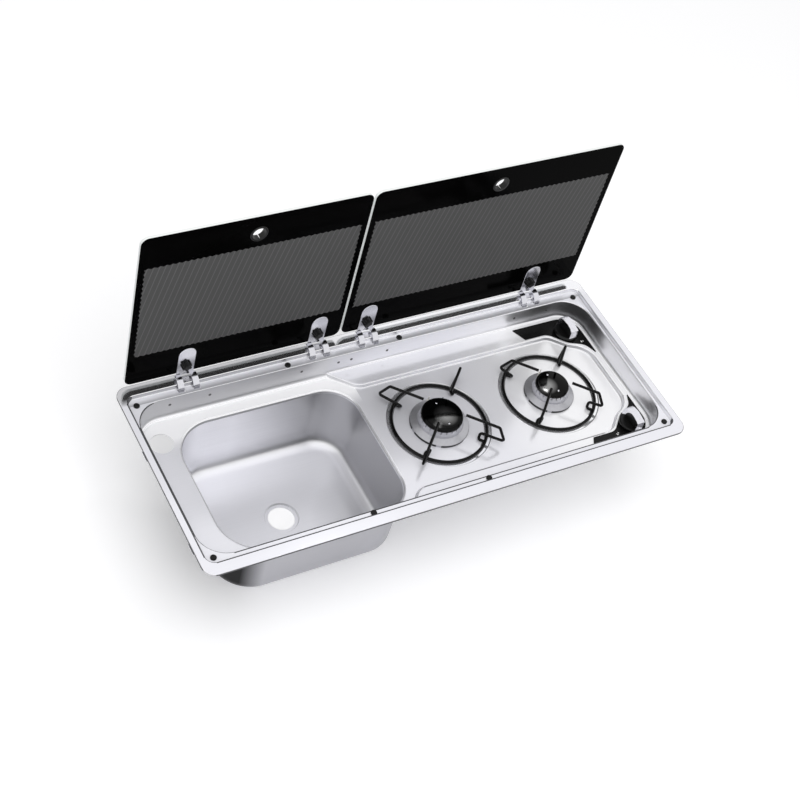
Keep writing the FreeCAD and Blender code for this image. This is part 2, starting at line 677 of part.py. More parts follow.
def burner_base(side):
    x = BURNERS[side]
    r = CAP_R[side]
    under = Z_DISH - SHEET
    profile = [(0, under - 26), (r - 12, under - 26), (r - 6, under - 20), (r - 6, under - 3), (r + 9, under - 3),
               (r + 9, under), (r - 2, under), (r - 2, Z_DECK + 5), (r - 7, Z_DECK + 5), (r - 7, under - 16),
               (0, under - 16)]
    casting = turned(profile, x, BURNER_Y)
    mixer = tube(V(x, BURNER_Y, Z_MIXER), 7.0, r + MIXER, V(1, 0, 0))
    throat = tube(V(x + r + 4, BURNER_Y, Z_MIXER), 5.0, 40, V(1, 0, 0))
    return joined([casting, mixer]).cut(throat)


def burner_cup(side):
    """Spun cup with an upright wall and a sloping top, pierced for the plug and the sensor."""
    x = BURNERS[side]
    r = CAP_R[side]
    out = r + CUP_OUT
    top = Z_DISH + CUP_H
    profile = [(r - 1.7, Z_DISH), (out, Z_DISH), (out, Z_DISH + 4.2), (out - 0.8, Z_DISH + 5), (r + 4, top - 0.6),
               (r + 3.2, top), (r - 1.7, top)]
    cup = turned(profile, x, BURNER_Y)
    for angle in (PLUG_ANGLE, SENSOR_ANGLE):
        spot = plug_spot(side, angle)
        cup = cup.cut(tube(V(spot[0], spot[1], Z_DISH - 1), PLUG_R + PIN_FIT, CUP_H + 2))
    return cup


def burner_crown(side):
    """Flame ring with radial slots."""
    x = BURNERS[side]
    r = CAP_R[side]
    low = Z_DISH + CUP_H
    top = low + CROWN_H
    profile = [(r - 7, low), (r + 2.5, low), (r + 2.5, low + 3), (r + 0.5, top), (r - 7, top)]
    ring = turned(profile, x, BURNER_Y)
    cuts = []
    for k in range(SLOTS):
        slit = block(x + r - 3, x + r + 5, BURNER_Y - 0.8, BURNER_Y + 0.8, top - 4.5, top + 1)
        slit.rotate(V(x, BURNER_Y, 0), V(0, 0, 1), 360.0 * k / SLOTS)
        cuts.append(slit)
    return ring.cut(cuts)


def dome_bend(side):
    """Radius of the sphere that the cap's top is part of."""
    reach = CAP_R[side] - CAP_EDGE
    return (reach ** 2 + CAP_DOME ** 2) / (2 * CAP_DOME)


def dome_height(side, r):
    """Height of the cap's top at a radius."""
    bend = dome_bend(side)
    return Z_DISH + CUP_H + CROWN_H + CAP_H + CAP_DOME - bend + math.sqrt(bend ** 2 - r ** 2)


def stud_spots(side):
    r = STUD_OUT * CAP_R[side]
    z = dome_height(side, r) - 0.3
    return [V(BURNERS[side], BURNER_Y + s * r, z) for s in (-1, 1)]


def burner_cap(side):
    """Cap with a rounded edge and a shallow domed top, bored for its two studs."""
    r = CAP_R[side]
    low = Z_DISH + CUP_H + CROWN_H
    reach = r - CAP_EDGE
    points = [V(0, 0, low), V(r, 0, low), V(r, 0, low + 3.5), V(r - 1.2, 0, low + 5.5), V(reach, 0, low + CAP_H),
              V(reach / 2, 0, dome_height(side, reach / 2)), V(0, 0, dome_height(side, 0))]
    edges = [
        Part.makeLine(points[0], points[1]),
        Part.makeLine(points[1], points[2]),
        Part.Arc(points[2], points[3], points[4]).toShape(),
        Part.Arc(points[4], points[5], points[6]).toShape(),
        Part.makeLine(points[6], points[0]),
    ]
    cap = Part.Face(Part.Wire(edges)).revolve(V(0, 0, 0), V(0, 0, 1), 360)
    cap.translate(V(BURNERS[side], BURNER_Y, 0))
    for spot in stud_spots(side):
        cap = cap.cut([tube(spot, STUD_R, 3), tube(spot - V(0, 0, 3), STUD_R / 2, 4)])
    return cap


def cap_studs(side):
    """Two bright studs riveted through the cap."""
    shapes = []
    for spot in stud_spots(side):
        head = Part.makeCone(STUD_R, STUD_R * 0.6, 1.0, spot)
        head = head.makeFillet(0.4, edges_at(head, spot.z + 1.0))
        shapes.append(joined([head, tube(spot - V(0, 0, 3), STUD_R / 2, 3)]))
    return group(shapes)


PLUG_ANGLE = 94.0
SENSOR_ANGLE = 58.0


def plug_spot(side, angle):
    turn = math.radians(angle)
    reach = CAP_R[side] + 3.2 + PLUG_R
    return BURNERS[side] + reach * math.cos(turn), BURNER_Y + reach * math.sin(turn)


def spark_plug(side):
    x, y = plug_spot(side, PLUG_ANGLE)
    z = Z_DISH + CUP_H + 7
    return joined([tube(V(x, y, Z_DISH), PLUG_R, z - Z_DISH), tube(V(x, y, z), 0.8, 10)])


def flame_sensor(side):
    x, y = plug_spot(side, SENSOR_ANGLE)
    z = Z_DISH + CUP_H + 5
    return joined([tube(V(x, y, Z_DISH), PLUG_R, z - Z_DISH), Part.makeCone(1.6, 1.1, 7, V(x, y, z))])


# Lift-off pan supports: a ring lying in the dish and four bent rods welded to it

def support_ring(side):
    return Part.makeTorus(RING_R, RING_ROD_R, V(BURNERS[side], BURNER_Y, Z_DISH + RING_ROD_R))


def support_arms(side):
    """Each rod: pan bar, outer bend, lower bar inwards over the ring, hairpin back out to the ring."""
    centre = V(BURNERS[side], BURNER_Y, 0)
    z_ring = Z_DISH + RING_ROD_R
    z_top = RIM_TOP - SUPPORT_TOP
    path = [V(ARM_IN[side], 0, z_top), V(ARM_OUT[side], 0, z_top), V(ARM_LOW[side], 0, z_top - ARM_DROP),
            V(HAIRPIN_R, HAIRPIN_SIDE, z_ring + HAIRPIN_H), V(HAIRPIN_R, -HAIRPIN_SIDE, z_ring),
            V(RING_R, -HAIRPIN_SIDE, z_ring)]
    bar = rod(path, ROD_R, 4.0)
    ring = Part.makeTorus(RING_R, RING_ROD_R, V(0, 0, z_ring))
    bar = max(bar.cut(ring).Solids, key=lambda piece: piece.Volume)
    shapes = []
    for k in range(4):
        arm = bar.copy()
        arm.rotate(V(0, 0, 0), V(0, 0, 1), 45 + 90 * k)
        arm.translate(centre)
        shapes.append(arm)
    return group(shapes)


# Gas controls: valve, sprung bush that is pushed, spindle and knob that turn in it

Z_KNOB = Z_SHELF + FASCIA_T + PUSH + 1.0


def gas_valve(side):
    y = KNOBS[side]
    under = Z_SHELF - SHEET
    flange = block(KNOB_X - 18, KNOB_X + 18, y - 9, y + 9, under - 3, under)
    body = block(KNOB_X - 12, KNOB_X + 12, y - 13, y + 13, under - 34, under - 3)
    outlet = tube(V(KNOB_X - 12, y, under - 26), 6.0, 10, V(-1, 0, 0))
    inlet = tube(V(KNOB_X, y, under - 34), 7.0, 6, V(0, 0, -1))
    valve = joined([flange, body, outlet, inlet])
    bush = tube(V(KNOB_X, y, under - 16), 6.5 + PIN_FIT, 30)
    tail = tube(V(KNOB_X, y, under - 22), SPINDLE_R + PIN_FIT, 20)
    return valve.cut([bush, tail])


def push_bush(side):
    y = KNOBS[side]
    top = Z_SHELF - SHEET - 2.0
    return tube(V(KNOB_X, y, top - 9), 6.5, 9).cut(tube(V(KNOB_X, y, top - 10), SPINDLE_R + PIN_FIT, 12))


def spindle(side):
    y = KNOBS[side]
    low = Z_SHELF - SHEET - 22 + PUSH + 1
    stem = tube(V(KNOB_X, y, low), SPINDLE_R, Z_KNOB + 12 - low)
    collar = tube(V(KNOB_X, y, Z_SHELF - SHEET - 2.0), 5.5, 2.5)
    flat = block(KNOB_X - 5, KNOB_X + 5, y + 2.8, y + 6, Z_KNOB, Z_KNOB + 13)
    return joined([stem, collar]).cut(flat)


def blade_profile(grow):
    """Side view of the grip: upright front end, shallow crown, rounded back."""
    z = Z_KNOB + 5.0
    front = -20.0 - grow
    back = 20.5 + grow
    crown = 20.0 + grow
    points = [V(0, front, z), V(0, front + 0.5, z + 16.0 + grow), V(0, 0, z + crown),
              V(0, back - 3, z + 15.5 + grow), V(0, back - 0.6, z + 8), V(0, back, z)]
    edges = [
        Part.makeLine(points[0], points[1]),
        Part.Arc(points[1], points[2], points[3]).toShape(),
        Part.Arc(points[3], points[4], points[5]).toShape(),
        Part.makeLine(points[5], points[0]),
    ]
    return Part.Face(Part.Wire(edges))


def knob_blade(grow, half):
    solid = blade_profile(grow).extrude(V(2 * half, 0, 0))
    solid.translate(V(-half, 0, 0))
    return solid


def knob(side):
    y = KNOBS[side]
    profile = [(0, Z_KNOB), (KNOB_R - 0.8, Z_KNOB), (KNOB_R, Z_KNOB + 0.8), (KNOB_R, Z_KNOB + 3.5),
               (KNOB_R - 1.5, Z_KNOB + 5), (0, Z_KNOB + 5)]
    body = joined([turned(profile), knob_blade(0.0, KNOB_HALF)])
    socket = tube(V(0, 0, Z_KNOB - 1), SPINDLE_R + PIN_FIT, 13)
    socket = socket.cut(block(-5, 5, 2.8, 6, Z_KNOB - 2, Z_KNOB + 13))
    body = body.cut(socket)
    body.translate(V(KNOB_X, y, 0))
    return body


def knob_trim(side):
    """Bright strip over the grip that turns down its sides towards the back, round a plain disc."""
    half = KNOB_HALF + TRIM_T
    strip = knob_blade(1.0, half).cut(knob_blade(0.0, KNOB_HALF))
    for x in (-half - 1, KNOB_HALF):
        strip = strip.cut(tube(V(x, -6, Z_KNOB + 7), 19.5, TRIM_T + 1, V(1, 0, 0)))
    strip.translate(V(KNOB_X, KNOBS[side], 0))
    return strip


# Pipework under the hob

def manifold():
    """Gas rail from the inlet at the back to both valves, with a thinner stub at the inlet."""
    y_back = KNOBS["back"]
    y_front = KNOBS["front"]
    y_tee = y_back - TEE_IN
    y_stub = RIM_D / 2 - STUB_IN - STUB
    path = [V(KNOB_X, y_front, Z_VALVE), V(KNOB_X, y_front, Z_RAIL), V(KNOB_X, y_back, Z_RAIL),
            V(KNOB_X, y_back, Z_VALVE)]
    half = RAIL_R + 2
    tee = block(KNOB_X - half, KNOB_X + half, y_tee - half, y_tee + half, Z_RAIL - half, Z_RAIL + half)
    feed = [V(KNOB_X, y_tee, Z_RAIL - half), V(KNOB_X, y_tee, Z_INLET), V(KNOB_X, y_stub, Z_INLET)]
    stub = tube(V(KNOB_X, y_stub, Z_INLET), STUB_R, STUB, V(0, 1, 0))
    return joined([rod(path, RAIL_R, 12.0), tee, rod(feed, RAIL_R, 10.0), stub])


def feed_pipe(side, valve):
    """Thin pipe from a valve to its burner's injector."""
    x = BURNERS[side] + CAP_R[side] + MIXER
    y = KNOBS[valve]
    z_valve = Z_SHELF - SHEET - 26
    start = V(KNOB_X - 22, y, z_valve)
    turn_x = x + 22
    path = [start, V(turn_x, y, z_valve), V(turn_x, BURNER_Y, Z_MIXER), V(x + 4, BURNER_Y, Z_MIXER)]
    return rod(path, FEED_R, 7.0)


def hexagon(radius, length):
    corners = [(radius * math.cos(math.radians(60 * k)), radius * math.sin(math.radians(60 * k))) for k in range(6)]
    return prism(outline(corners, [0] * 6), 0, length)


def injector(side):
    """Brass jet and holder in the mixer's mouth."""
    x = BURNERS[side] + CAP_R[side] + MIXER
    jet = tube(V(x - 8, BURNER_Y, Z_MIXER), 5.0, 8, V(1, 0, 0))
    nut = hexagon(8.0, 12)
    nut.rotate(V(0, 0, 0), V(0, 1, 0), 90)
    nut.translate(V(x, BURNER_Y, Z_MIXER))
    return joined([jet, nut]).cut(tube(V(x + 4, BURNER_Y, Z_MIXER), FEED_R, 9, V(1, 0, 0)))


def inlet_nut():
    y = RIM_D / 2 - STUB_IN - STUB - INLET_NUT
    nut = hexagon(RAIL_R + 4.5, INLET_NUT)
    nut.rotate(V(0, 0, 0), V(1, 0, 0), -90)
    nut.translate(V(KNOB_X, y, Z_INLET))
    return nut.cut(tube(V(KNOB_X, y - 1, Z_INLET), RAIL_R, INLET_NUT + 2, V(0, 1, 0)))


# Every node, one file each

os.makedirs("parts", exist_ok=True)

save("top_pan", top_pan())
save("sink_bowl", sink_bowl())
save("rim_gasket", rim_gasket())
save("fixing_clips", fixing_clips())
save("clip_screws", clip_screws())
save("hinge_brackets", hinge_brackets())
save("hinge_pins", hinge_pins())
save("hinge_rivets", hinge_rivets())
save("lid_bumpers", lid_bumpers())
for name, ends, places in (("left", LEFT_EDGES, HINGES_LEFT), ("right", RIGHT_EDGES, HINGES_RIGHT)):
    save("lid_glass_" + name, lid_glass(ends[0], ends[1], places))
    save("finger_ring_" + name, finger_ring((ends[0] + ends[1]) / 2))
    save("hinge_arms_" + name, hinge_arms(places))
    save("hinge_pads_" + name, hinge_pads(places))
    save("hinge_nuts_" + name, hinge_nuts(places))
    save("hinge_screws_" + name, hinge_screws(places))
for name, valve in (("left", "front"), ("right", "back")):
    save("burner_base_" + name, burner_base(name))
    save("burner_cup_" + name, burner_cup(name))
    save("burner_crown_" + name, burner_crown(name))
    save("burner_cap_" + name, burner_cap(name))
    save("cap_studs_" + name, cap_studs(name))
    save("spark_plug_" + name, spark_plug(name))
    save("flame_sensor_" + name, flame_sensor(name))
    save("support_ring_" + name, support_ring(name))
    save("support_arms_" + name, support_arms(name))
    save("injector_" + name, injector(name))
    save("feed_pipe_" + name, feed_pipe(name, valve))
for name in KNOBS:
    save("fascia_" + name, fascia(name))
    save("gas_valve_" + name, gas_valve(name))
    save("push_bush_" + name, push_bush(name))
    save("spindle_" + name, spindle(name))
    save("knob_" + name, knob(name))
    save("knob_trim_" + name, knob_trim(name))
save("gas_rail", manifold())
save("inlet_nut", inlet_nut())
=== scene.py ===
import math
import bpy
from mathutils import Matrix, Vector


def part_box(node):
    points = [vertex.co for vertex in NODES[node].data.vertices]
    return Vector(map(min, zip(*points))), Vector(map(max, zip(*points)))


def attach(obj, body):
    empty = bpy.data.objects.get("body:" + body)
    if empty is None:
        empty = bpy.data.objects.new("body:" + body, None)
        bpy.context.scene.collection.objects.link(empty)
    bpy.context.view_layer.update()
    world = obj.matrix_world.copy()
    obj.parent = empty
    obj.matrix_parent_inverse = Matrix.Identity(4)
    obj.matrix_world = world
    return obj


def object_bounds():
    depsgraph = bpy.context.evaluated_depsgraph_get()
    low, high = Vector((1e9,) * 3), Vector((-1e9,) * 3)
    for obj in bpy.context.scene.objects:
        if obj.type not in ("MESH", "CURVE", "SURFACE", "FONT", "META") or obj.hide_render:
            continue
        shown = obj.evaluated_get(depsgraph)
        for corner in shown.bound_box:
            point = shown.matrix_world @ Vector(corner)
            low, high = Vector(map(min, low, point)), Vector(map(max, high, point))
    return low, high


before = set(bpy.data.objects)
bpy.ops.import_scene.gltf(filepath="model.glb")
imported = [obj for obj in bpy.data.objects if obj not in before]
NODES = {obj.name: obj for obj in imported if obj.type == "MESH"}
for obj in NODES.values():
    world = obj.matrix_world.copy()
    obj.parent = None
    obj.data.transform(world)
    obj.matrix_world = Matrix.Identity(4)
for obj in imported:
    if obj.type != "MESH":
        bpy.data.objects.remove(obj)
cad_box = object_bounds()

MM = 0.001
SIDES = ("left", "right")
KNOB_SIDES = ("back", "front")


def mm(*values):
    """Millimetres as metres."""
    return tuple(value * MM for value in values)


def pair(stem, ends=SIDES):
    return [stem + "_" + end for end in ends]


def middle_of(node):
    low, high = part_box(node)
    return (Vector(low) + Vector(high)) / 2


def dress(material, *names):
    """Puts one material in every slot of the named nodes."""
    for name in names:
        slots = NODES[name].data.materials
        for i in range(len(slots)):
            slots[i] = material


def grey(level):
    return (level, level, level)


def blue_grey(level, cool=1.06):
    """The cool grey of stainless steel."""
    return (level, level, level * cool)


# Node helpers

BRUSH_SCALE = 14.0
CLOUD_SCALE = 9.0
CLOUD_DETAIL = 2.0
METAL_RELIEF = 0.4 * MM
BLACK_RELIEF = 0.5 * MM


class Shade:
    """Nodes that are added one by one to a material or world and wired to its main shader."""

    def __init__(self, owner, main="Principled BSDF"):
        owner.use_nodes = True
        self.owner = owner
        self.tree = owner.node_tree
        self.main = self.tree.nodes[main]

    def fill(self, target, value):
        """Sets a socket to a value, or links it to another node's output."""
        if isinstance(value, bpy.types.NodeSocket):
            self.tree.links.new(value, target)
        else:
            target.default_value = value

    def put(self, socket, value):
        self.fill(self.main.inputs[socket], value)

    def add(self, kind, settings=(), **inputs):
        """A new node. An input is given by its name, or by its number as i0, i1 and so on."""
        node = self.tree.nodes.new("ShaderNode" + kind)
        for key, value in dict(settings).items():
            setattr(node, key, value)
        for key, value in inputs.items():
            numbered = key[0] == "i" and key[1:].isdigit()
            self.fill(node.inputs[int(key[1:]) if numbered else key], value)
        return node

    def math(self, operation, a, b=0.0):
        return self.add("Math", {"operation": operation}, i0=a, i1=b).outputs[0]

    def product(self, first, *others):
        for other in others:
            first = self.math("MULTIPLY", first, other)
        return first

    def highest(self, first, *others):
        for other in others:
            first = self.math("MAXIMUM", first, other)
        return first

    def less(self, value, other):
        return self.math("SUBTRACT", value, other)

    def above(self, value, limit):
        """1 where the value is above the limit, 0 elsewhere."""
        return self.math("GREATER_THAN", value, limit)

    def below(self, value, limit):
        """1 where the value is below the limit, 0 elsewhere."""
        return self.math("LESS_THAN", value, limit)

    def between(self, value, limits):
        """1 where the value lies between two limits, 0 elsewhere."""
        return self.product(self.above(value, limits[0]), self.below(value, limits[1]))

    def place(self, scale=(1, 1, 1), turn=(0, 0, 0)):
        """Object coordinates, stretched and turned."""
        source = self.add("TexCoord").outputs["Object"]
        return self.add("Mapping", i0=source, i2=turn, i3=scale).outputs[0]

    def axes(self, output):
        """The three parts of a texture coordinate, such as Object or Normal."""
        source = self.add("TexCoord").outputs[output]
        return self.add("SeparateXYZ", i0=source).outputs

    def distance(self, point):
        """Distance from a point x, y, as seen from above."""
        x, y, z = self.axes("Object")
        level = self.add("CombineXYZ", i0=x, i1=y).outputs[0]
        gap = self.add("VectorMath", {"operation": "DISTANCE"}, i0=level, i1=(*point, 0.0))
        return gap.outputs["Value"]

    def noise(self, where, scale, detail=3.0):
        return self.add("TexNoise", i0=where, Scale=scale, Detail=detail).outputs[0]

    def brush(self, scales):
        """Brushed streaks, long on the axis whose scale is smallest."""
        return self.noise(self.place(scales), BRUSH_SCALE)

    def cloud(self):
        """Slow changes over the whole surface."""
        return self.noise(self.place(), CLOUD_SCALE, CLOUD_DETAIL)

    def span(self, value, low, high):
        """Value from 0 to 1 moved to the range low to high."""
        return self.add("MapRange", i0=value, i3=low, i4=high).outputs[0]

    def ramp(self, value, limits, low=0.0, high=1.0):
        """Value between two limits moved to the range low to high, and held outside it."""
        start, end = limits
        return self.add("MapRange", i0=value, i1=start, i2=end, i3=low, i4=high).outputs[0]

    def tint(self, value, dark, light):
        """Colour between dark and light, each a colour or a node's output."""
        ends = [end if isinstance(end, bpy.types.NodeSocket) else (*end, 1) for end in (dark, light)]
        return self.add("Mix", {"data_type": "RGBA"}, i0=value, i6=ends[0], i7=ends[1]).outputs[2]

    def bump(self, height, strength, distance):
        node = self.add("Bump", Height=height, Strength=strength, Distance=distance)
        self.put("Normal", node.outputs[0])

    def rough(self, value, middle, spread):
        """Roughness that follows a value from 0 to 1, by a spread to either side of a middle."""
        self.put("Roughness", self.span(value, middle - spread, middle + spread))

    def seen(self):
        """1 for rays that reach the camera straight, mirrored or through glass, 0 for soft light."""
        path = self.add("LightPath").outputs
        return self.highest(path["Is Camera Ray"], path["Is Glossy Ray"], path["Is Transmission Ray"])


def new_shade(name):
    return Shade(bpy.data.materials.new(name))


# Pressed sheet: where its tones lie

# Parts of the surface's normal: upwards, towards the back or right for lips, and along x for the left
FLAT_TILT = (0.7, 0.97)
FILLET_START = (0.6, 0.75)
FILLET_END = (0.9, 0.97)
LIP_TILT = 0.2
LEFT_FACING = (-0.6, -0.1)

# Heights, the lower one first
RIM_LEVEL = mm(-2.0, 0.0)
LIP_LEVEL = mm(-3.0, 4.0)
LEDGE_LEVEL = mm(-8.0, -4.0)
STEP_LEVEL = mm(-52.0, -42.0)
DECK_LEVEL = mm(-60.0, -47.0)
HOB_LEVEL = mm(-60.0, -40.0)
WELL_LEVEL = mm(-60.0, -7.0)
SKIN_TOP = -20.0 * MM

# Places and reaches as seen from above
SKIN_FACING = 5.0 * MM
RIM_EDGE_WIDTH = 1.2 * MM
RIM_EDGE = [half - RIM_EDGE_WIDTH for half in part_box("top_pan")[1][:2]]
BACK_RIM_Y = mm(150.0, 165.0)
LEDGE_SHADOW_Y = mm(153.0, 160.0)
BEHIND_SINK_X = mm(-450.0, -40.0)
BEHIND_SINK_Y = mm(80.0, 105.0)
# Reaches of the painted highlight on the right, of less metal at the ends, of the painted shade spot and of
# the painted dark reflection near a corner
PAINTED_HIGHLIGHT_X = mm(150.0, 300.0)
CALM_ENDS = mm(330.0, 430.0)
SPOT_SHADE_REACH = mm(15.0, 95.0)
CORNER_REFLECTION_REACH = mm(60.0, 118.0)
BAND_RADII = mm(79.0, 90.4)

# Painted shade lines along the rim's lip, the ledge's edge and the front step: the axis that the line
# crosses, its place on that axis, its stretch on the other one, its level and its strength
X_AXIS, Y_AXIS = 0, 1
PAINTED_SHADE_LINES = (
    (Y_AXIS, mm(-170.3, -167.4), mm(-425.0, 425.0), LIP_LEVEL, 1.0),
    (Y_AXIS, mm(-157.8, -154.9), mm(-390.0, 390.0), LEDGE_LEVEL, 1.0),
    (X_AXIS, mm(-439.8, -436.9), mm(-155.0, 155.0), LIP_LEVEL, 1.0),
    (X_AXIS, mm(-434.9, -432.4), mm(-110.0, 110.0), LEDGE_LEVEL, 1.0),
    (Y_AXIS, mm(-120.4, -116.8), mm(-30.0, 335.0), STEP_LEVEL, 0.7),
)


# Pressed sheet: its tones, shares of them and gloss

SHEET_BRUSH = (0.8, 110, 110)
SHEET_GRAIN = 0.015
SATIN_SHADES = (0.95, 1.03)
SKIN_SHADES = (0.9, 1.1)
WALL_COOL = 1.03
WALL_STREAKS = (-0.05, 0.12)
# Tones of painted shade on edges, of painted shadow (also used for the wall streaks), of the painted shade
# spot, of painted highlights and of a painted dark reflection
EDGE_SHADE_TONE = blue_grey(0.09)
SHADE_AND_STREAK_TONE = blue_grey(0.1)
SPOT_SHADE_TONE = blue_grey(0.3)
PAINTED_HIGHLIGHT_TONE = blue_grey(0.98, 1.02)
FILLET_HIGHLIGHT_TONE = blue_grey(0.96, 1.02)
LEFT_REFLECTION_TONE = blue_grey(0.02)
# Shares of the painted ledge shadow, of the painted shade spot and of the painted dark reflection near a
# corner
LEDGE_SHADOW = 0.55
SPOT_SHADE_SHARE = 0.4
CORNER_REFLECTION_SHARE = 0.72
WALL_METAL = 0.93
CALM_METAL = 0.06
BAND_METAL = 0.8
BACK_RIM_ROUGH = 0.13
BAND_ROUGH = 0.09
SHEET_SPREAD = 0.04


class SheetShade(Shade):
    """Nodes of a pressed sheet, with the places on it that several tones share."""

    def __init__(self, name):
        super().__init__(bpy.data.materials.new(name))
        self.x, self.y, self.z = self.axes("Object")
        self.across, self.along, tilt = self.axes("Normal")
        self.lean = self.math("ABSOLUTE", tilt)
        self.streaks = self.brush(SHEET_BRUSH)
        self.clouds = self.cloud()
        self.upright = self.ramp(self.lean, FLAT_TILT, 1.0, 0.0)
        self.back_rim = self.product(self.ramp(self.z, RIM_LEVEL), self.ramp(self.y, BACK_RIM_Y))
        self.polish = self.highest(self.upright, self.back_rim)
        # Behind the sink the flats get a painted highlight and less metal
        behind = self.product(self.ramp(self.y, BEHIND_SINK_Y), self.between(self.z, DECK_LEVEL))
        self.behind_sink = self.product(behind, self.between(self.x, BEHIND_SINK_X))

    def outside(self, half_sizes, middle=(0.0, 0.0)):
        """1 outside a rectangle, 0 inside it."""
        gaps = []
        for value, centre, half in zip((self.x, self.y), middle, half_sizes):
            gaps.append(self.less(self.math("ABSOLUTE", self.less(value, centre)), half))
        return self.above(self.highest(*gaps), 0.0)

    def skin(self, middle, reach):
        """1 on the outer skin: what faces away from the middle, further from it than the reach."""
        out_x = self.product(self.across, self.less(self.x, middle[0]))
        out_y = self.product(self.along, self.less(self.y, middle[1]))
        facing = self.above(self.math("ADD", out_x, out_y), SKIN_FACING)
        return self.product(facing, self.below(self.z, SKIN_TOP), self.outside(reach, middle))

    def edges(self):
        """Share of painted shade on the rim's outer edge, on lips that face back or right and on the painted
        lines.
        """
        lip = self.above(self.highest(self.across, self.along), LIP_TILT)
        # Painted shade on lips, on the painted lines and on the rim's outer edge
        dark = self.product(lip, self.above(self.z, LEDGE_LEVEL[0]))
        plan = (self.x, self.y)
        for axis, place, stretch, level, strength in PAINTED_SHADE_LINES:
            line = self.product(self.between(plan[axis], place), self.between(plan[1 - axis], stretch))
            dark = self.highest(dark, self.product(line, self.between(self.z, level), strength))
        return self.highest(dark, self.product(self.upright, self.outside(RIM_EDGE)))

    def satin(self, flat, painted_shade_spot):
        """Tone of the flats: a painted shadow on the back ledge, a painted shade spot, and painted
        highlights behind the sink and on the right.
        """
        tone = self.tint(self.streaks, *(blue_grey(flat * share) for share in SATIN_SHADES))
        shadow = self.product(self.ramp(self.y, LEDGE_SHADOW_Y, LEDGE_SHADOW, 0.0),
                              self.above(self.y, LEDGE_SHADOW_Y[0]), self.between(self.z, LEDGE_LEVEL))
        tone = self.tint(shadow, tone, SHADE_AND_STREAK_TONE)
        # Painted shade round the spot
        tone = self.tint(self.ramp(self.distance(painted_shade_spot), SPOT_SHADE_REACH, SPOT_SHADE_SHARE, 0.0), tone, SPOT_SHADE_TONE)
        # Painted highlight on the hob's right and behind the sink
        bright = self.product(self.ramp(self.x, PAINTED_HIGHLIGHT_X), self.between(self.z, HOB_LEVEL))
        return self.tint(self.highest(self.behind_sink, bright), tone, PAINTED_HIGHLIGHT_TONE)

    def drawn(self, walls, walls_x, corner):
        """Tone of the walls: painted shading that changes with x, a painted dark reflection near a corner
        and painted highlights on fillets.
        """
        tone = self.tint(self.ramp(self.x, walls_x), *(blue_grey(level, WALL_COOL) for level in walls))
        # Painted dark reflection near the corner, in the well
        near = self.ramp(self.distance(corner), CORNER_REFLECTION_REACH, CORNER_REFLECTION_SHARE, 0.0)
        dark = self.product(near, self.between(self.z, WELL_LEVEL))
        tone = self.tint(self.highest(dark, self.span(self.streaks, *WALL_STREAKS)), tone, SHADE_AND_STREAK_TONE)
        # Painted highlight on fillets
        fillet_highlight = self.product(self.ramp(self.lean, FILLET_START), self.ramp(self.lean, FILLET_END, 1.0, 0.0))
        return self.tint(fillet_highlight, tone, FILLET_HIGHLIGHT_TONE)

    def outer_skin_tone(self, outer):
        """Tone of the outer skin, darker than the flats, with a painted dark reflection where it faces left.
        """
        tone = self.tint(self.clouds, *(blue_grey(outer * share) for share in SKIN_SHADES))
        # Painted dark reflection where the skin faces left
        return self.tint(self.ramp(self.across, LEFT_FACING), LEFT_REFLECTION_TONE, tone)


def sheet_steel(name, flat, flat_metal, painted_shade_spot, walls, walls_x, corner, outer, middle, reach, rough,
                bands=()):
    """Pressed sheet: satin flats, drawn walls, polished back rim, painted shade on edges and a darker outer
    skin with a painted dark reflection on its left.

    The walls' tone, a painted shading, goes from the first of walls to the second as x goes over walls_x.
    Rough is that of flats and of walls. The bands are the centres of polished rings. The shade spot is the
    middle of a painted shade, and the corner that of a painted dark reflection.
    """
    shade = SheetShade(name)
    wall = shade.tint(shade.skin(middle, reach), shade.drawn(walls, walls_x, corner), shade.outer_skin_tone(outer))
    sheet = shade.tint(shade.polish, shade.satin(flat, painted_shade_spot), wall)
    shade.put("Base Color", shade.tint(shade.edges(), sheet, EDGE_SHADE_TONE))
    calm = shade.highest(shade.ramp(shade.math("ABSOLUTE", shade.x), CALM_ENDS), shade.behind_sink)
    metal = shade.span(shade.polish, shade.span(calm, flat_metal, CALM_METAL), WALL_METAL)
    gloss = shade.span(shade.back_rim, shade.span(shade.upright, *rough), BACK_RIM_ROUGH)
    for centre in bands:
        band = shade.between(shade.distance(centre), BAND_RADII)
        metal = shade.span(band, metal, BAND_METAL)
        gloss = shade.span(band, gloss, BAND_ROUGH)
    shade.put("Metallic", metal)
    shade.put("Roughness", shade.math("ADD", gloss, shade.span(shade.clouds, -SHEET_SPREAD, SHEET_SPREAD)))
    shade.bump(shade.streaks, SHEET_GRAIN, METAL_RELIEF)
    return shade.owner


# Brushed, cast and black materials

PART_BRUSH = (60, 60, 4)
PART_GRAIN = 0.04
PART_SPREAD = 0.04
NUT_SHADOW_REACH = mm(6.0, 20.0)
NUT_SHADOW = 0.7
NUT_SHADOW_TONE = blue_grey(0.25)

CAST_SCALE = 260.0
CAST_DETAIL = 5.0
CAST_GRAIN = 0.08
CAST_SPREAD = 0.06

CUP_TONES = (blue_grey(0.42), blue_grey(0.54))
# Painted shadow gap at the cup's foot
CUP_FOOT_SHADE_TONE = (0.03, 0.03, 0.032)
CUP_FOOT_HEIGHT = 4.4 * MM
CUP_METAL = 0.75
CUP_ROUGH = 0.32
LUG_STEP = math.radians(30)
LUG_HALF = math.radians(5)

CAP_SCALE = 60.0
# Black enamel, and the lighter tone of its painted reflection
CAP_AND_SHEEN_TONES = (grey(0.012), grey(0.28))
CAP_ROUGH = 0.1
PAINTED_SHEEN_REACH = (0.15, 0.62)
PAINTED_SHEEN_SHIFT = {"left": (0.07, -0.16), "right": (-0.42, -0.1)}

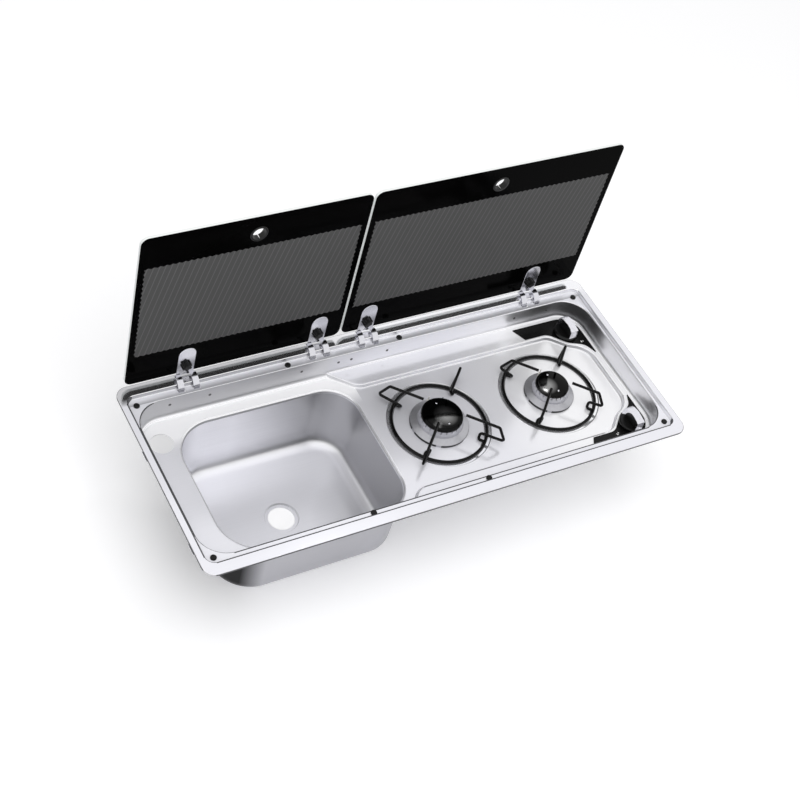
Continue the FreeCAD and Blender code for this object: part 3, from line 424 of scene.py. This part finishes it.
BLACK_DETAIL = 4.0
BLACK_SHADES = (0.6, 1.5)
BLACK_SPREAD = 0.05
HARD_PLASTIC = {"level": 0.005, "rough": 0.3, "gloss": 0.3, "speckle": 900.0, "depth": 0.08}
FOOT_LINE = mm(0.5, 0.8)
FOOT_LINE_TONE = blue_grey(0.5)


def brushed(name, tones, rough, metal, nut_height=None):
    """Brushed part with slow changes of gloss, and a painted shadow round a nut's height where one is given.
    """
    shade = new_shade(name)
    streaks = shade.brush(PART_BRUSH)
    tone = shade.tint(streaks, *(blue_grey(level) for level in tones))
    if nut_height is not None:
        # Painted shadow round the nut's height
        off = shade.math("ABSOLUTE", shade.less(shade.axes("Object")[2], nut_height))
        tone = shade.tint(shade.ramp(off, NUT_SHADOW_REACH, NUT_SHADOW, 0.0), tone, NUT_SHADOW_TONE)
    shade.put("Base Color", tone)
    shade.put("Metallic", metal)
    shade.rough(shade.cloud(), rough, PART_SPREAD)
    shade.bump(streaks, PART_GRAIN, METAL_RELIEF)
    return shade.owner


def cast(name, dark, light, rough, metal=0.9):
    """Cast or turned metal with a grainy skin."""
    shade = new_shade(name)
    grain = shade.noise(shade.place(), CAST_SCALE, CAST_DETAIL)
    shade.put("Base Color", shade.tint(grain, dark, light))
    shade.put("Metallic", metal)
    shade.rough(grain, rough, CAST_SPREAD)
    shade.bump(grain, CAST_GRAIN, METAL_RELIEF)
    return shade.owner


def cup_alloy(cup):
    """Turned burner cup: bright cone, and a painted shadow gap at its foot, broken by bright lugs."""
    shade = new_shade(cup)
    grain = shade.noise(shade.place(), CAST_SCALE, CAST_DETAIL)
    x, y, z = shade.axes("Object")
    middle = middle_of(cup)
    turn = shade.math("ARCTAN2", shade.less(y, middle.y), shade.less(x, middle.x))
    lug = shade.below(shade.math("PINGPONG", turn, LUG_STEP), LUG_HALF)
    foot = shade.below(z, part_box(cup)[0][2] + CUP_FOOT_HEIGHT)
    # Painted shadow gap at the foot, broken by the lugs
    dark = shade.product(foot, shade.less(1.0, lug))
    shade.put("Base Color", shade.tint(dark, shade.tint(grain, *CUP_TONES), CUP_FOOT_SHADE_TONE))
    shade.put("Metallic", CUP_METAL)
    shade.rough(grain, CUP_ROUGH, CAST_SPREAD)
    shade.bump(grain, CAST_GRAIN, METAL_RELIEF)
    return shade.owner


def cap_enamel(cap, shift):
    """Black enamelled burner cap with a painted reflection, a sheen shifted from the middle by shares of the
    radius.
    """
    shade = new_shade(cap)
    grain = shade.noise(shade.place(), CAP_SCALE, CAST_DETAIL)
    low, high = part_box(cap)
    radius = (high[0] - low[0]) / 2
    spot = [centre + share * radius for centre, share in zip(middle_of(cap), shift)]
    reach = [share * radius for share in PAINTED_SHEEN_REACH]
    # Painted reflection on the cap
    sheen = shade.ramp(shade.distance(spot), reach, 1.0, 0.0)
    shade.put("Base Color", shade.tint(sheen, *CAP_AND_SHEEN_TONES))
    shade.put("Metallic", 1.0)
    shade.rough(grain, CAP_ROUGH, CAST_SPREAD)
    shade.bump(grain, CAST_GRAIN, METAL_RELIEF)
    return shade.owner


def black(name, level, rough, gloss, speckle, depth, foot=None):
    """Black plastic, enamel or rubber with a fine grain, and a bright line at the foot's height if given."""
    shade = new_shade(name)
    grain = shade.noise(shade.place(), speckle, BLACK_DETAIL)
    tone = shade.tint(grain, *(grey(level * share) for share in BLACK_SHADES))
    if foot is not None:
        limits = [foot + height for height in FOOT_LINE]
        line = shade.ramp(shade.axes("Object")[2], limits, 1.0, 0.0)
        tone = shade.tint(line, tone, FOOT_LINE_TONE)
        shade.put("Metallic", line)
    shade.put("Base Color", tone)
    shade.put("Specular IOR Level", gloss)
    shade.rough(grain, rough, BLACK_SPREAD)
    shade.bump(grain, depth, BLACK_RELIEF)
    return shade.owner


# Lid glass

WINDOWS = {
    "left": mm(-421, -60, 77, 269),
    "right": mm(-32.5, 421, 75, 269),
}
RASTER_PITCH = 9.8 * MM
RASTER_TOOTH = 0.45
RASTER_LEAN = math.radians(13.8)
RASTER_LINE = mm(0.3, 1.1)
RASTER_TONES = (0.095, 0.145)
DOT_SCALE = 500.0
DOT_TURN = (0, math.radians(45), 0)
DOT_TONES = (-0.02, 0.02)
PLAIN_TONE = 0.001
GROUND_EDGE = (0.86, 0.88, 0.87)
FACE_TILT = 0.7
SMEAR_SCALE = 12.0
GLASS_ROUGH = (0.06, 0.14)
GLASS_GLOSS = 0.012


def lid_glass_material(name, window):
    """Black glass with a raster window and bright ground edges. The window is x0, x1, z0, z1."""
    shade = new_shade(name)
    x, y, z = shade.axes("Object")
    x_teeth, z_teeth = [shade.product(shade.math("PINGPONG", value, RASTER_PITCH / 2), RASTER_TOOTH)
                        for value in (x, z)]
    inside = shade.product(
        shade.above(shade.math("ADD", x, z_teeth), window[0]),
        shade.below(shade.less(x, z_teeth), window[1]),
        shade.above(shade.math("ADD", z, x_teeth), window[2]),
        shade.below(shade.less(z, x_teeth), window[3]),
    )
    across = shade.less(shade.product(x, math.cos(RASTER_LEAN)), shade.product(z, math.sin(RASTER_LEAN)))
    line = shade.ramp(shade.math("PINGPONG", across, RASTER_PITCH / 2), RASTER_LINE, 1.0, 0.0)
    dots = shade.add("TexVoronoi", i0=shade.place(turn=DOT_TURN), Scale=DOT_SCALE, Randomness=0.0)
    level = shade.math("ADD", shade.span(line, *RASTER_TONES),
                       shade.span(dots.outputs["Distance"], *DOT_TONES))
    tone = shade.math("ADD", shade.product(level, inside), PLAIN_TONE)
    face = shade.above(shade.math("ABSOLUTE", shade.axes("Normal")[1]), FACE_TILT)
    pane = shade.add("CombineColor", i0=tone, i1=tone, i2=tone).outputs[0]
    shade.put("Base Color", shade.tint(face, GROUND_EDGE, pane))
    shade.put("Roughness", shade.span(shade.noise(shade.place(), SMEAR_SCALE), *GLASS_ROUGH))
    shade.put("Specular IOR Level", GLASS_GLOSS)
    return shade.owner


# Materials of the solids

# In each sheet the walls' tones along x are painted shading, the spot a painted shade and the corner that of
# a painted dark reflection
pan_steel = sheet_steel(
    "pan_steel", flat=0.86, flat_metal=0.28, painted_shade_spot=mm(18, 52),
    walls=(0.56, 0.96), walls_x=mm(-150, 10), corner=mm(400, 148),
    outer=0.5, middle=(0.0, 0.0), reach=mm(425, 140), rough=(0.16, 0.36),
    bands=[middle_of(cap)[:2] for cap in pair("burner_cap")])
bowl_steel = sheet_steel(
    "bowl_steel", flat=0.93, flat_metal=0.42, painted_shade_spot=mm(-80, -60),
    walls=(0.97, 0.47), walls_x=mm(-260, -90), corner=mm(-60, 400),
    outer=0.48, middle=mm(-214, -7), reach=(0.0, 0.0), rough=(0.3, 0.36))
part_steel = brushed("part_steel", tones=(0.666, 0.777), rough=0.26, metal=0.85)
hinge_steel = brushed("hinge_steel", tones=(0.66, 0.78), rough=0.14, metal=1.0,
                      nut_height=middle_of("hinge_nuts_left").z)
bright_metal = cast("bright_metal", blue_grey(0.72), blue_grey(0.84), rough=0.18, metal=1.0)
alloy = cast("alloy", blue_grey(0.64), blue_grey(0.8), rough=0.34, metal=0.75)
dull_alloy = cast("dull_alloy", grey(0.42), grey(0.55), rough=0.5)
rivet_dark = cast("rivet_dark", grey(0.1), grey(0.16), rough=0.4)
brass = cast("brass", (0.6, 0.44, 0.2), (0.76, 0.58, 0.3), rough=0.35)
ceramic = cast("ceramic", (0.72, 0.7, 0.64), (0.82, 0.8, 0.75), rough=0.3, metal=0.0)
mark_white = cast("mark_white", grey(0.7), grey(0.8), rough=0.5, metal=0.0)
rod_enamel = black("rod_enamel", level=0.003, rough=0.16, gloss=0.18, speckle=500.0, depth=0.06)
nut_plastic = black("nut_plastic", **HARD_PLASTIC)
fascia_black = black("fascia_black", level=0.006, rough=0.25, gloss=0.15, speckle=700.0, depth=0.03)
rubber = black("rubber", level=0.008, rough=0.55, gloss=0.25, speckle=800.0, depth=0.1)
foam = black("foam", level=0.02, rough=0.8, gloss=0.2, speckle=1500.0, depth=0.3)

dress(pan_steel, "top_pan")
dress(bowl_steel, "sink_bowl")
dress(part_steel, "fixing_clips", "hinge_brackets", "gas_rail", *pair("feed_pipe"))
dress(hinge_steel, *pair("hinge_arms"))
dress(bright_metal, "clip_screws", "hinge_pins", *pair("hinge_screws"), *pair("cap_studs"))
dress(bright_metal, *pair("flame_sensor"), *pair("spindle", KNOB_SIDES), *pair("knob_trim", KNOB_SIDES))
dress(rivet_dark, "hinge_rivets")
dress(alloy, *pair("burner_crown"))
dress(dull_alloy, *pair("burner_base"), *pair("gas_valve", KNOB_SIDES))
dress(brass, "inlet_nut", *pair("injector"), *pair("push_bush", KNOB_SIDES))
dress(ceramic, *pair("spark_plug"))
dress(rod_enamel, *pair("support_ring"), *pair("support_arms"))
dress(nut_plastic, *pair("hinge_nuts"), *pair("finger_ring"))
dress(fascia_black, *pair("fascia", KNOB_SIDES))
dress(rubber, "lid_bumpers", *pair("hinge_pads"))
dress(foam, "rim_gasket")

for side in SIDES:
    lid = "lid_glass_" + side
    cap = "burner_cap_" + side
    cup = "burner_cup_" + side
    dress(lid_glass_material(lid, WINDOWS[side]), lid)
    dress(cap_enamel(cap, PAINTED_SHEEN_SHIFT[side]), cap)
    dress(cup_alloy(cup), cup)
for knob in pair("knob", KNOB_SIDES):
    dress(black(knob, **HARD_PLASTIC, foot=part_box(knob)[0][2]), knob)


# Small printed marks on the fascias, placed from the knob's middle

MARK_PLACES = {"back": mm(22.0, -25.5), "front": mm(-34.0, -10.5)}
MARK_LEANS = {"back": 0.0, "front": 0.6}
MARK_THICK = 0.06 * MM
# Size of each drop and its step from the mark's place
DROPS = (mm(5.0, -1.6), mm(3.4, 2.2))
DROP_POINTS = 24
DROP_HALF_WIDE = 0.45
DROP_HALF_TALL = 0.5


def drop_outline(size, lean):
    """Outline of a small flame-shaped drop that leans by an angle."""
    points = []
    for i in range(DROP_POINTS):
        turn = 2 * math.pi * i / DROP_POINTS
        wide = size * DROP_HALF_WIDE * math.sin(turn) * math.sin(turn / 2) ** 2
        tall = size * DROP_HALF_TALL * math.cos(turn)
        x = wide * math.cos(lean) - tall * math.sin(lean)
        y = wide * math.sin(lean) + tall * math.cos(lean)
        points.append((x, y))
    return points


def flat_piece(name, outlines, z, thick):
    """Thin raised marks, one for each outline."""
    verts = []
    faces = []
    for points in outlines:
        n = len(points)
        start = len(verts)
        verts += [(x, y, z) for x, y in points]
        verts += [(x, y, z + thick) for x, y in points]
        faces.append([start + i for i in reversed(range(n))])
        faces.append([start + n + i for i in range(n)])
        for i in range(n):
            j = (i + 1) % n
            faces.append([start + i, start + j, start + n + j, start + n + i])
    mesh = bpy.data.meshes.new(name)
    mesh.from_pydata(verts, [], faces)
    piece = bpy.data.objects.new(name, mesh)
    bpy.context.scene.collection.objects.link(piece)
    return piece


def make_mark(end):
    """A large and a small flame drop beside the knob."""
    dx, dy = MARK_PLACES[end]
    lean = MARK_LEANS[end]
    centre = middle_of("knob_" + end)
    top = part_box("fascia_" + end)[1][2]
    outlines = []
    for size, step in DROPS:
        x = centre.x + dx + step * math.cos(lean)
        y = centre.y + dy + step * math.sin(lean)
        outlines.append([(x + u, y + v) for u, v in drop_outline(size, lean)])
    piece = flat_piece("fascia_mark_" + end, outlines, top, MARK_THICK)
    piece.data.materials.append(mark_white)
    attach(piece, "unit")


for end in KNOB_SIDES:
    make_mark(end)


# Floor, light and camera, in metres

WHITE = (1, 1, 1, 1)
FLOOR_SIZE = 30.0
FLOOR_GAP = 1.0 * MM
FLOOR_TONE = (0.9, 0.9, 0.91, 1)
FLOOR_GLOW = 0.2
SKY_LEVELS = (0.55, 1.0)

CAMERA_LENS = 70.438
CAMERA_SENSOR = 36.0
CAMERA_CLIP = 100.0
CAMERA_PLACE = (-1.16283, -1.28698, 1.92063)
CAMERA_RIGHT = (0.86506, -0.45669, 0.20762)
CAMERA_UP = (0.23231, 0.73149, 0.64106)


def make_floor():
    """White floor under the part, which looks brighter than the light that it gives back."""
    bpy.ops.mesh.primitive_plane_add(size=FLOOR_SIZE, location=(0, 0, cad_box[0][2] - FLOOR_GAP))
    floor = bpy.context.object
    floor.name = "floor"
    shade = new_shade("floor_white")
    shade.put("Base Color", FLOOR_TONE)
    shade.put("Roughness", 1.0)
    shade.put("Specular IOR Level", 0.0)
    shade.put("Emission Color", WHITE)
    shade.put("Emission Strength", shade.product(shade.seen(), FLOOR_GLOW))
    floor.data.materials.append(shade.owner)


def make_world():
    """White surroundings, which look brighter than the soft light that they give."""
    world = bpy.data.worlds.new("studio")
    bpy.context.scene.world = world
    shade = Shade(world, "Background")
    shade.put("Color", WHITE)
    shade.put("Strength", shade.span(shade.seen(), *SKY_LEVELS))


def area_light(name, place, aim, size, power, mirrored):
    """Square lamp aimed at a point. One that isn't mirrored lights the part but shows in no reflection."""
    data = bpy.data.lights.new(name, "AREA")
    data.shape = "SQUARE"
    data.size = size
    data.energy = power
    lamp = bpy.data.objects.new(name, data)
    bpy.context.scene.collection.objects.link(lamp)
    lamp.location = place
    lamp.visible_glossy = mirrored
    lamp.rotation_euler = (Vector(aim) - Vector(place)).to_track_quat("-Z", "Y").to_euler()


def make_camera():
    """Camera fitted to the photograph, with its place and axes in the frame."""
    data = bpy.data.cameras.new("camera")
    data.lens = CAMERA_LENS
    data.sensor_width = CAMERA_SENSOR
    data.clip_end = CAMERA_CLIP
    camera = bpy.data.objects.new("camera", data)
    bpy.context.scene.collection.objects.link(camera)
    right = Vector(CAMERA_RIGHT)
    up = Vector(CAMERA_UP)
    turn = Matrix((right, up, right.cross(up))).transposed().to_4x4()
    camera.matrix_world = Matrix.Translation(CAMERA_PLACE) @ turn
    bpy.context.scene.camera = camera


make_floor()
make_world()
area_light("softbox", place=(-0.6, -1.2, 4.3), aim=(0, 0, 0), size=4.0, power=122.0, mirrored=False)
area_light("kicker", place=(1.36, 1.4, 3.75), aim=(0.1, 0, 0), size=0.4, power=5.0, mirrored=True)
make_camera()
bpy.context.scene.view_settings.view_transform = "Standard"
